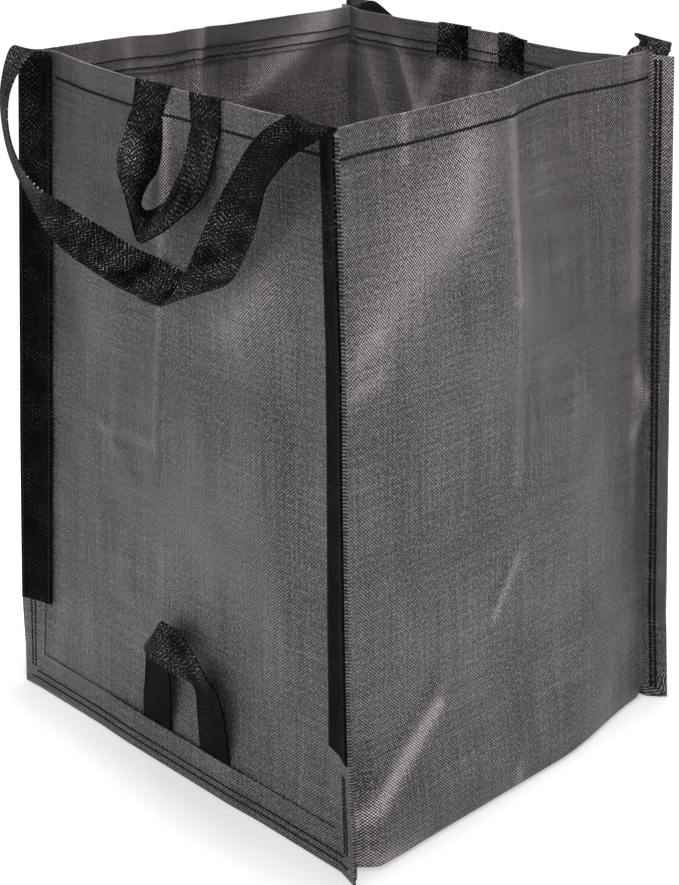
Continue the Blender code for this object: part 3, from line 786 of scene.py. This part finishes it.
def edged_loop(name, node, side, edges, base, frame_z, leave, look, painted_light_weight, turn=1):
    """A free loop between two edges. base is the height that the edges' heights are counted from.

    leave is the way that its roots leave their sewn ends, as out and up.
    """
    outward = side_frame(side, frame_z)[2]
    stub = Vector((outward.x * leave[0], outward.y * leave[0], leave[1])) * ROOT_STUB
    count = 4 * len(edges)
    lines = []
    for which in (0, 1):
        points = []
        for row in edges:
            a, out, up = row[3 * which : 3 * which + 3]
            points.append(panel_point(side, turn * a * MM, out * MM, base + up * MM))
        line = [smooth(points, row / (count - 1)) for row in range(count)]
        lines.append([line[0] - stub] + line + [line[-1] - stub])
    outer, inner = lines
    runs = [path_lengths(line) for line in lines]
    width = (outer[0] - inner[0]).length
    across = spread(0.0, 1.0, 11)

    def place(row, column):
        share = across[column]
        v = runs[0][row] * (1 - share) + runs[1][row] * share
        # How strongly glints are painted here
        glint = between(painted_light_weight, 100 * row / (len(outer) - 1))[0]
        return outer[row].lerp(inner[row], share), ((0.5 - share) * width, v), glint

    return sheet(name, len(outer), len(across), place, WEBBING, look, node)


# Sewing thread


def stitches(name, rows, look):
    """Dashes of thread sunk into the cloth. A row is (surface, first, last, pitch, thread radius).

    surface(s, out) gives a point at length s along the row and out from the row's own surface.
    """
    points, faces, spots = [], [], []
    for surface, first, last, pitch, radius in rows:
        count = max(int(abs(last - first) / pitch), 1)
        step = (last - first) / count
        for index in range(count):
            uneven = 0.05 * math.sin(7.3 * index)
            start = first + step * (index + 0.5 - STITCH_SHARE / 2 + uneven)
            base = len(points)
            for way, size in STITCH_RINGS:
                at = start + step * STITCH_SHARE * way
                spot = surface(at, radius * (0.7 * size - 0.45))
                out = (surface(at, MM) - surface(at, 0.0)).normalized()
                run = (surface(at + step * 0.1, 0.0) - surface(at - step * 0.1, 0.0)).normalized()
                side = run.cross(out)
                for turn in range(STITCH_SIDES):
                    angle = 2 * math.pi / STITCH_SIDES * turn
                    off = side * math.cos(angle) + out * (0.8 * math.sin(angle))
                    points.append(spot + off * (radius * size))
                    spots.append((radius * angle, abs(step) * (index + way)))
            last_ring = base + STITCH_SIDES * (len(STITCH_RINGS) - 1)
            for low in range(base, last_ring, STITCH_SIDES):
                for turn in range(STITCH_SIDES):
                    beside = (turn + 1) % STITCH_SIDES
                    high = low + STITCH_SIDES
                    faces.append((low + turn, low + beside, high + beside, high + turn))
            faces.append(tuple(base + turn for turn in reversed(range(STITCH_SIDES))))
            faces.append(tuple(last_ring + turn for turn in range(STITCH_SIDES)))
    mesh = bpy.data.meshes.new(name)
    mesh.from_pydata(points, [], faces)
    uv_layer = mesh.uv_layers.new(name="metres")
    for loop in mesh.loops:
        uv_layer.data[loop.index].uv = spots[loop.vertex_index]
    mesh.update()
    mesh.materials.append(look)
    made = finished(added(name, mesh), 60)
    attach(made, "bag")


def on_side(side, z, level):
    """The line along a side panel at height z; level(a) is how far out its top surface is."""
    return lambda a, out: side_point(side, a, z, level(a) + math.copysign(out, level(a)))


def upright(side, a, level):
    """The line up a side panel or its seam allowance, level out from the middle surface."""
    return lambda z, out: side_point(side, a, z, level + math.copysign(out, level))


def on_wall(end, z, inside):
    """The line across the front or back wall at height z, on its outside or its inside."""
    def surface(x, out):
        stand = -(LAYER + CLOTH / 2 + out) if inside else CLOTH / 2 + out
        return u_surface(end * HALF_DEPTH, z, x / HALF_WIDTH, 0.0, stand)

    return surface


def on_strap(side, end, edge, strap):
    """The line up one edge of a strap, that leans as the strap does."""
    top_centre, foot_centre, foot, drop = strap

    def surface(z, out):
        share = (z - foot) / (BAG_HEIGHT - drop - foot)
        centre = foot_centre + (top_centre - foot_centre) * share
        off = edge * (STRAP_WIDTH / 2 - STRAP_STITCH)
        a = end * (HALF_DEPTH + off - centre)
        return side_point(side, a, z, OVER_BORDER + WEBBING / 2 + out, False)

    return surface


def sew_hem(name, side, look):
    cloth_top = CLOTH / 2

    def over_tabs(a):
        on_tab = min(abs(a - GRAB_CENTRE - way * GRAB_PITCH / 2) for way in (-1, 1))
        return ON_CLOTH + WEBBING / 2 if on_tab < GRAB_WIDTH / 2 else cloth_top

    reach = BORDER_EDGE - 0.014
    outside = on_side(side, BAG_HEIGHT - HEM_STITCH, over_tabs)
    rows = [(outside, -reach, reach, HEM_PITCH, HEM_THREAD)]
    for down in BACK_HEM_STITCHES if side == FAR else (HEM_STITCH,):
        inside = on_side(side, BAG_HEIGHT - down, lambda a: -LAYER - cloth_top)
        rows.append((inside, -reach, reach, HEM_PITCH, SEAM_THREAD))
    stitches("thread_hem_" + name, rows, look)


def sew_seams(name, side, look):
    cloth_top = CLOTH / 2

    def on_border(a):
        return LAYER + border_stand_off(side, a) + cloth_top

    rows = []
    for z in BORDER_ROWS:
        rows.append((on_side(side, z, on_border), -OUTER + z, OUTER - z, SEAM_PITCH, SEAM_THREAD))
    for end in (-1, 1):
        for from_edge in FIN_ROWS:
            a = end * (OUTER - from_edge)
            if (side, end) != (NEAR, -1):
                line = upright(side, a, -LAYER - cloth_top)
                rows.append((line, 0.012, RIM_TOP - 0.003, SEAM_PITCH, FIN_THREAD))
            line = upright(side, a, LAYER + cloth_top)
            rows.append((line, 0.024, STRAP_FOOT, SEAM_PITCH, SEAM_THREAD))
        strap = STRAPS[STRAP_PLACES[side, end]]
        foot, drop = strap[2:]
        for edge in (-1, 1):
            line = on_strap(side, end, edge, strap)
            rows.append((line, foot + STRAP_STITCH, BAG_HEIGHT - drop, SEAM_PITCH, SEAM_THREAD))
    stitches("thread_seams_" + name, rows, look)


def sew(look):
    for side, name in SIDE_NAMES.items():
        sew_hem(name, side, look)
        sew_seams(name, side, look)
    reach = HALF_WIDTH - 0.001
    rows = []
    for end in (-1, 1):
        rows.append((on_wall(end, BAG_HEIGHT - HEM_STITCH, False), -reach, reach, HEM_PITCH, HEM_THREAD))
        for down in BACK_HEM_STITCHES if end > 0 else (HEM_STITCH,):
            rows.append((on_wall(end, BAG_HEIGHT - down, True), -reach, reach, HEM_PITCH, SEAM_THREAD))
    stitches("thread_hems_front_back", rows, look)


# Materials

TAPE_PITCH = 0.0016
CLOTH_SPECULAR = 0.22
CLOTH_TONE = 0.060
BORDER_TONE = 0.058
DARK_CLOTH = (0.008, 0.0070, 0.0078)
# The pale end of the cloth's colour, which its painted sheen also reaches
PALE_CLOTH = (0.780, 0.705, 0.765)
FLOAT_LENGTH = 0.0048
FLOAT_WIDTH = 0.0027
HERRINGBONE = 0.0066
WEBBING_SPECULAR = 0.02
DARK_WEBBING = (0.0012, 0.0011, 0.0011)
# The colour of the glints painted on the webbing
PAINTED_GLINT_COLOUR = (0.800, 0.790, 0.770)
TWIST_PITCH = 0.0012
THREAD_SPECULAR = 0.15
DARK_THREAD = (0.0035, 0.0032, 0.0033)
PALE_THREAD = (0.014, 0.013, 0.0135)


class Nodes:
    """A material's node tree, with short ways to add and join nodes."""

    def __init__(self, name, roughness, specular):
        self.material = bpy.data.materials.new(name)
        self.material.use_nodes = True
        self.tree = self.material.node_tree
        self.shader = self.tree.nodes["Principled BSDF"]
        self.shader.inputs["Roughness"].default_value = roughness
        self.shader.inputs["Specular IOR Level"].default_value = specular

    def add(self, kind, **settings):
        node = self.tree.nodes.new(kind)
        for key, value in settings.items():
            setattr(node, key, value)
        return node

    def join(self, output, target):
        self.tree.links.new(output, target)

    def put(self, value, target):
        if isinstance(value, (int, float)):
            target.default_value = value
        else:
            self.join(value, target)

    def maths(self, operation, first, second=None):
        node = self.add("ShaderNodeMath", operation=operation)
        self.put(first, node.inputs[0])
        if second is not None:
            self.put(second, node.inputs[1])
        return node.outputs[0]

    def uv(self):
        """The two lengths of the UV map, in metres."""
        node = self.add("ShaderNodeUVMap", uv_map="metres")
        split = self.add("ShaderNodeSeparateXYZ")
        self.join(node.outputs[0], split.inputs[0])
        return split.outputs[0], split.outputs[1]

    def painted_light_level(self):
        """How much highlight, or below 0 shade, is painted into the sheet's colour, from its mesh."""
        return self.add("ShaderNodeAttribute", attribute_name="painted_light").outputs["Fac"]

    def vector(self, x, y, z=0.0):
        node = self.add("ShaderNodeCombineXYZ")
        for value, target in zip((x, y, z), node.inputs):
            self.put(value, target)
        return node.outputs[0]

    def noise(self, vector, scale, detail=2.0):
        node = self.add("ShaderNodeTexNoise")
        self.join(vector, node.inputs["Vector"])
        node.inputs["Scale"].default_value = scale
        node.inputs["Detail"].default_value = detail
        return node.outputs[0]

    def stretched(self, u, v, by_u, by_v, seed, detail=2.0):
        """Noise in the UV map's lengths, with this many features a metre each way."""
        place = self.vector(self.maths("MULTIPLY", u, by_u), self.maths("MULTIPLY", v, by_v), seed)
        return self.noise(place, 1.0, detail)

    def ranged(self, value, low, high, to_low, to_high):
        node = self.add("ShaderNodeMapRange")
        self.put(value, node.inputs["Value"])
        node.inputs["From Min"].default_value = low
        node.inputs["From Max"].default_value = high
        node.inputs["To Min"].default_value = to_low
        node.inputs["To Max"].default_value = to_high
        return node.outputs[0]

    def mixed(self, share, first, second):
        node = self.add("ShaderNodeMix", data_type="RGBA")
        self.put(share, node.inputs["Factor"])
        node.inputs["A"].default_value = (*first, 1.0)
        node.inputs["B"].default_value = (*second, 1.0)
        return node.outputs["Result"]

    def wave(self, value, pitch):
        return self.maths("SINE", self.maths("MULTIPLY", value, 2 * math.pi / pitch))

    def paint(self, share, first, second):
        """Colours the surface between two colours."""
        self.join(self.mixed(share, first, second), self.shader.inputs["Base Color"])

    def emboss(self, height, strength, distance):
        node = self.add("ShaderNodeBump")
        node.inputs["Strength"].default_value = strength
        node.inputs["Distance"].default_value = distance
        self.join(height, node.inputs["Height"])
        self.join(node.outputs[0], self.shader.inputs["Normal"])


def woven_cloth(name, tone):
    """Coated cloth woven of flat tapes: a fine checker of tapes, uneven from tape to tape, with painted
    sheen and shade.
    """
    made = Nodes(name, 0.4, CLOTH_SPECULAR)
    u, v = made.uv()
    across = made.maths("DIVIDE", u, TAPE_PITCH)
    along = made.maths("DIVIDE", v, TAPE_PITCH)
    checker = made.maths(
        "MULTIPLY",
        made.maths("SINE", made.maths("MULTIPLY", across, math.pi)),
        made.maths("SINE", made.maths("MULTIPLY", along, math.pi)),
    )
    grain = made.noise(made.vector(across, along), 0.55, 1.0)
    warp = made.stretched(u, v, 520.0, 7.0, 0.0)
    weft = made.stretched(u, v, 7.0, 520.0, 7.0)
    # Random patches where sheen is painted into the colour and the cloth is a little glossier
    painted_light_weight = made.stretched(u, v, 16.0, 6.0, 5.0)
    cloud = made.noise(made.vector(u, v, 3.0), 13.0, 3.0)
    tapes = made.ranged(made.maths("ADD", warp, weft), 0.7, 1.3, -0.5, 0.5)
    grains = made.ranged(grain, 0.25, 0.75, -0.5, 0.5)
    clouds = made.ranged(cloud, 0.3, 0.7, -0.5, 0.5)
    # The mesh's painted highlight, or below 0 painted shade, broken up by the grain
    painted_light_level = made.maths("MULTIPLY", made.painted_light_level(), made.ranged(grain, 0.3, 0.7, 0.55, 1.1))
    gloss_and_painted_sheen = made.maths("MAXIMUM", made.ranged(painted_light_weight, 0.42, 0.68, 0.0, 0.7), painted_light_level)
    # The checker's dots stand out more where sheen is painted, and the painted light lifts or lowers the
    # whole colour
    shade = made.maths("MULTIPLY", checker, made.ranged(gloss_and_painted_sheen, 0.0, 1.0, 0.33, 0.60))
    for part, weight in ((tapes, 0.22), (grains, 0.36), (clouds, 0.05), (painted_light_level, 0.15)):
        shade = made.maths("ADD", shade, made.maths("MULTIPLY", part, weight))
    # Bright dots of painted sheen where the mesh paints highlight
    painted_sheen_dots = made.maths("MULTIPLY", checker, made.ranged(painted_light_level, 0.0, 2.0, 0.0, 1.0))
    shade = made.maths("ADD", made.maths("ADD", shade, painted_sheen_dots), tone)
    made.paint(shade, DARK_CLOTH, PALE_CLOTH)
    rough = made.ranged(gloss_and_painted_sheen, 0.0, 1.0, 0.40, 0.26)
    made.join(rough, made.shader.inputs["Roughness"])
    made.emboss(made.maths("ADD", checker, made.maths("MULTIPLY", tapes, 0.6)), 0.6, 0.0002)
    return made.material


def webbing_look(name):
    """Black webbing woven in a herringbone, with glints painted on a few of its threads."""
    made = Nodes(name, 0.55, WEBBING_SPECULAR)
    u, v = made.uv()
    fold = made.maths("PINGPONG", u, HERRINGBONE)
    slant = made.maths("ADD", v, made.maths("MULTIPLY", fold, 0.9))
    ribs = made.wave(slant, FLOAT_LENGTH)
    threads = made.wave(u, FLOAT_WIDTH)
    floats = made.ranged(made.maths("MULTIPLY", ribs, threads), 0.10, 0.80, 0.06, 1.0)
    which = made.vector(made.maths("DIVIDE", u, FLOAT_WIDTH), made.maths("DIVIDE", slant, FLOAT_LENGTH))
    painted_glint_threads = made.ranged(made.noise(which, 1.9, 1.0), 0.50, 0.70, 0.06, 1.0)
    patch = made.ranged(made.noise(made.vector(u, v, 2.0), 30.0), 0.36, 0.62, 0.10, 1.0)
    # Painted glints, as strong as the mesh asks, on random threads and patches
    glint = made.maths("MULTIPLY", floats, made.painted_light_level())
    glint = made.maths("MULTIPLY", glint, made.maths("MULTIPLY", painted_glint_threads, patch))
    made.paint(glint, DARK_WEBBING, PAINTED_GLINT_COLOUR)
    made.emboss(made.maths("ADD", floats, made.maths("MULTIPLY", threads, 0.3)), 0.8, 0.0004)
    return made.material


def thread_look(name):
    """Black sewing thread, twisted of a few strands."""
    made = Nodes(name, 0.6, THREAD_SPECULAR)
    u, v = made.uv()
    twist = made.wave(made.maths("ADD", u, v), TWIST_PITCH)
    made.paint(made.ranged(twist, -1.0, 1.0, 0.0, 1.0), DARK_THREAD, PALE_THREAD)
    made.emboss(twist, 0.5, 0.0001)
    return made.material


def build_bag():
    cloth = woven_cloth("woven_cloth", CLOTH_TONE)
    border = woven_cloth("border_cloth", BORDER_TONE)
    web = webbing_look("webbing_black")
    pieces = [u_cloth(cloth)]
    for side, name in SIDE_NAMES.items():
        pieces.append(side_cloth("side_cloth_" + name, side, cloth))
        pieces.append(border_cloth("border_cloth_" + name, side, border))
        for leg, way in (("front", -1), ("back", 1)):
            centre = GRAB_CENTRE + way * GRAB_PITCH / 2
            pieces.append(saddle(f"{name}_{leg}", side, centre, web))
    for (side, end), name in STRAP_PLACES.items():
        pieces.append(corner_strap(name, side, end, web))
    for leg, way in (("front", -1), ("back", 1)):
        centre = DUMP_CENTRE + way * DUMP_PITCH / 2
        pieces.append(sewn_end("sewn_end_" + leg, "dump_loop_end_" + leg, NEAR, centre, web))
    for piece in pieces:
        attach(piece, "bag")
    sew(thread_look("thread_black"))
    crest_z = BAG_HEIGHT - STRAPS["near"][3] + CREST_RADIUS
    grab_z = BAG_HEIGHT - GRAB_OUTSIDE_LEG
    for side, name in SIDE_NAMES.items():
        edges = CARRY_EDGES if side == NEAR else FAR_ROOT + CARRY_EDGES[FAR_SHARED] + FAR_CREST
        loop = edged_loop(
            "handle_" + name, "carry_loop_" + name, side, edges, crest_z, BAG_HEIGHT, (1, 0), web,
            CARRY_PAINTED_GLINT, -side,
        )
        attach(loop, name + "_carry")
        loop = edged_loop(
            "rim_loop_" + name, "grab_loop_" + name, side, GRAB_EDGES, grab_z - GAP, grab_z, (0, -1), web,
            GRAB_PAINTED_GLINT,
        )
        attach(loop, name + "_grab")
    base = BORDER_FOOT + GAP
    loop = edged_loop("foot_loop", "dump_loop", NEAR, DUMP_EDGES, base, BORDER_FOOT, (0, 1), web, DUMP_PAINTED_GLINT)
    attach(loop, "dump")


# Studio

CAMERA_PLACE = (-1.180, -1.201, 0.957)
CAMERA_AZIMUTH = math.radians(-44.25)
CAMERA_ELEVATION = math.radians(18.49)
CAMERA_LENS_MM = 71.7
CAMERA_SENSOR_MM = 36.0
CAMERA_SHIFT_Y = -0.110
WORLD_LEVEL = 0.43
FLOOR_COLOUR = (0.85, 0.85, 0.85, 1.0)
FLOOR_SIZE = 6.0
FLOOR_DROP = 0.0005
# The floor's own glow beside the bag and away from it, and where one turns into the other
NEAR_GLOW = 0.36
FLOOR_GLOW = 0.66
NEAR_REACH = 0.25
FAR_REACH = 0.36
# Each light: place, what it points at, size and watts
LIGHTS = {
    "key": ((-1.2, -1.7, 3.0), (0, 0, 0.45), (1.3, 1.3), 15),
    "left": ((-2.6, 0.4, 1.6), (0, 0, 0.35), (1.4, 2.0), 10),
    "over": ((-0.02, -0.08, 1.9), (0.1, 0.12, 0.55), (0.6, 0.6), 26),
    "low": ((-0.9, -2.6, 1.3), (0, 0, 0.35), (1.6, 1.2), 12),
}


def stage():
    """A pale floor that glows white to the camera but keeps the bag's shadow, and a white backdrop."""
    pale = Nodes("pale_floor", 0.9, 0.0)
    pale.shader.inputs["Base Color"].default_value = FLOOR_COLOUR
    path = pale.add("ShaderNodeLightPath")
    seen = pale.maths("MAXIMUM", path.outputs["Is Camera Ray"], path.outputs["Is Glossy Ray"])
    seen = pale.maths("MAXIMUM", seen, path.outputs["Is Transmission Ray"])
    pale.shader.inputs["Emission Color"].default_value = (1.0, 1.0, 1.0, 1.0)
    split = pale.add("ShaderNodeSeparateXYZ")
    pale.join(pale.add("ShaderNodeNewGeometry").outputs["Position"], split.inputs[0])
    off_x, off_y = (pale.maths("ABSOLUTE", split.outputs[axis]) for axis in (0, 1))
    off = pale.maths("MAXIMUM", off_x, off_y)
    glow = pale.ranged(off, NEAR_REACH, FAR_REACH, NEAR_GLOW, FLOOR_GLOW)
    pale.join(pale.maths("MULTIPLY", seen, glow), pale.shader.inputs["Emission Strength"])
    mesh = bpy.data.meshes.new("floor")
    grid = bmesh.new()
    bmesh.ops.create_grid(grid, x_segments=1, y_segments=1, size=FLOOR_SIZE)
    grid.to_mesh(mesh)
    grid.free()
    mesh.materials.append(pale.material)
    floor = added("floor", mesh)
    floor.location.z = -FLOOR_DROP
    world = bpy.data.worlds.new("studio")
    world.use_nodes = True
    bpy.context.scene.world = world
    tree = world.node_tree
    back = tree.nodes["Background"]
    back.inputs["Color"].default_value = (1.0, 1.0, 1.0, 1.0)
    light_path = tree.nodes.new("ShaderNodeLightPath")
    level = tree.nodes.new("ShaderNodeMapRange")
    level.inputs["To Min"].default_value = WORLD_LEVEL
    level.inputs["To Max"].default_value = 1.0
    tree.links.new(light_path.outputs["Is Camera Ray"], level.inputs["Value"])
    tree.links.new(level.outputs[0], back.inputs["Strength"])


def area_light(name, place, target, size, power):
    data = bpy.data.lights.new(name, "AREA")
    data.shape = "RECTANGLE"
    data.size, data.size_y = size
    data.energy = power
    light = added(name, data)
    light.location = place
    light.rotation_euler = (Vector(target) - Vector(place)).to_track_quat("-Z", "Y").to_euler()


def camera():
    data = bpy.data.cameras.new("camera")
    data.sensor_width = CAMERA_SENSOR_MM
    data.sensor_fit = "AUTO"
    data.lens = CAMERA_LENS_MM
    data.shift_y = CAMERA_SHIFT_Y
    made = added("camera", data)
    made.location = CAMERA_PLACE
    made.rotation_euler = (math.pi / 2 - CAMERA_ELEVATION, 0.0, CAMERA_AZIMUTH)
    bpy.context.scene.camera = made


bpy.context.scene.view_settings.view_transform = "Standard"
build_bag()
stage()
for light_name, light_set_up in LIGHTS.items():
    area_light(light_name, *light_set_up)
camera()
